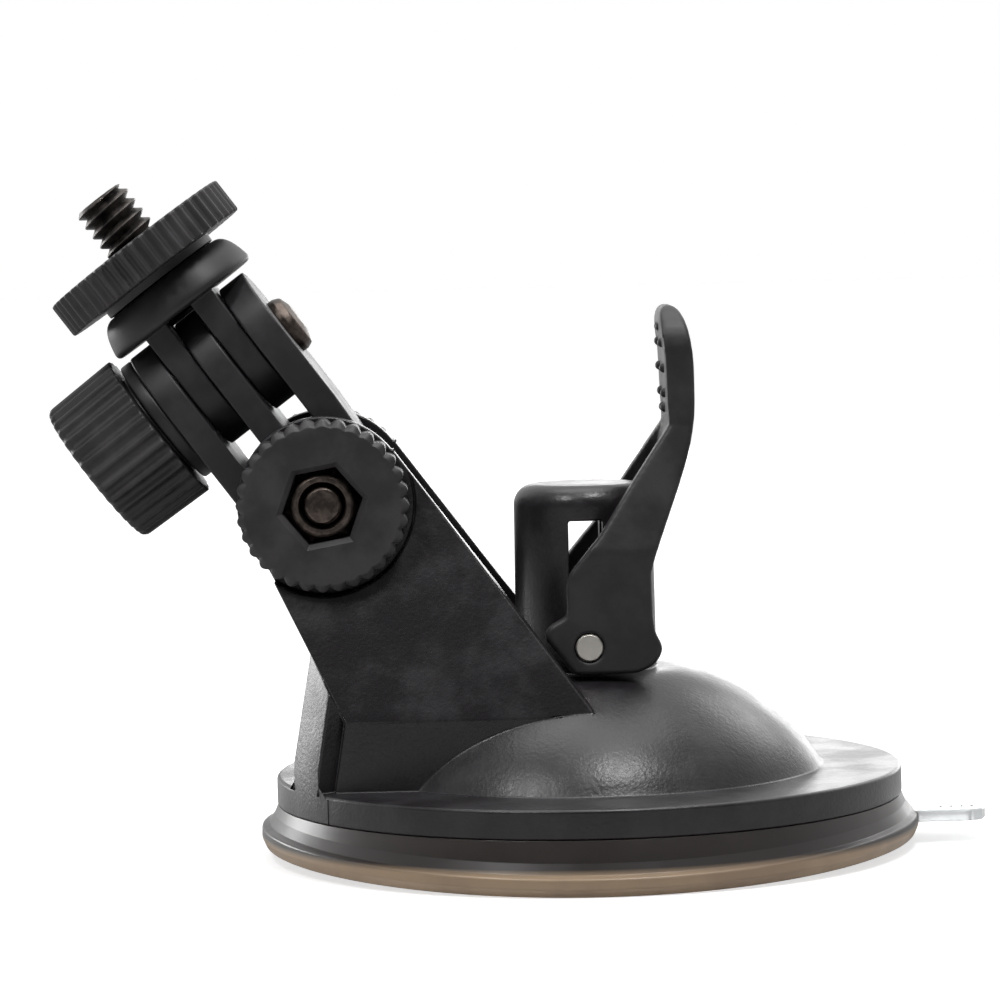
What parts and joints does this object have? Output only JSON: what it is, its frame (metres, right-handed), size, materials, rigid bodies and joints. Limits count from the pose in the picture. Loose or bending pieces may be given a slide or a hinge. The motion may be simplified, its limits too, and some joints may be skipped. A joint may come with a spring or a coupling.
{
  "type": "dash camera windscreen mount",
  "caption": "Suction-cup windscreen mount: lever-locked cup base with a guide tower, fixed arm, tilting link, swivelling fork head and a knurled lock wheel on a quarter-inch camera thread.",
  "frame": {"origin": "on the suction cup's axis, in the plane of the glass that the cup's rim rests on", "axes": "+Z away from the glass along the cup's axis, +X towards the release tab with the arm leaning to -X, +Y across the arm along the lower pivot"},
  "size_m": [0.0987, 0.07, 0.0718],
  "materials": {
    "black_abs": "fine-grained matte black moulding",
    "smoky_cup": "smoky translucent soft plastic, amber at the lip",
    "clear_tab": "clear soft plastic",
    "stem_plastic": "plain black moulding",
    "bright_pin": "cut end, satin",
    "dark_steel": "dark plated fasteners",
    "black_oxide": "black oxide thread"
  },
  "bodies": {
    "base": {"base_housing": "black_abs", "suction_cup": "smoky_cup", "release_tab": "clear_tab"},
    "stem": {"pull_stem": "stem_plastic", "lever_pin": "bright_pin"},
    "lever": {"lever": "black_abs"},
    "front_knob": {"pivot_knob": "black_abs", "pivot_nut": "dark_steel"},
    "rear_knob": {"pivot_cap": "black_abs", "pivot_bolt": "dark_steel"},
    "link": {"link": "black_abs", "head_bolt": "dark_steel", "head_washer": "black_abs"},
    "thumb_knob": {"head_knob": "black_abs", "head_knob_nut": "dark_steel"},
    "head": {"camera_head": "black_abs", "camera_screw": "black_oxide"},
    "wheel": {"lock_wheel": "black_abs"}
  },
  "joints": [
    {"name": "stem_lift", "type": "slide", "parent": "base", "child": "stem", "axis": [0, 0, 1], "range_m": [0, 0.0059]},
    {"name": "lever_fold", "type": "hinge", "parent": "stem", "child": "lever", "pos_m": [0, 0, 0.0224], "axis": [0, 1, 0], "range_deg": [0, 90]},
    {"name": "pivot_tilt", "type": "hinge", "parent": "base", "child": "link", "pos_m": [-0.02725, 0, 0.038], "axis": [0, 1, 0], "range_deg": [-22, 80]},
    {"name": "head_tilt", "type": "hinge", "parent": "link", "child": "head", "pos_m": [-0.03724, 0, 0.05151], "axis": [0.8039, 0, 0.5948], "range_deg": [-75, 75]},
    {"name": "front_knob_turn", "type": "hinge", "parent": "base", "child": "front_knob", "pos_m": [-0.02725, 0, 0.038], "axis": [0, -1, 0], "continuous": true},
    {"name": "rear_knob_turn", "type": "hinge", "parent": "base", "child": "rear_knob", "pos_m": [-0.02725, 0, 0.038], "axis": [0, 1, 0], "continuous": true},
    {"name": "thumb_knob_turn", "type": "hinge", "parent": "link", "child": "thumb_knob", "pos_m": [-0.03724, 0, 0.05151], "axis": [-0.8039, 0, -0.5948], "continuous": true},
    {"name": "wheel_turn", "type": "hinge", "parent": "head", "child": "wheel", "pos_m": [-0.04564, 0, 0.0637], "axis": [-0.5948, 0, 0.8039], "continuous": true}
  ],
  "couplings": [
    {"joint": "lever_fold", "follows": "stem_lift", "rad_per_m": 266.2}
  ]
}
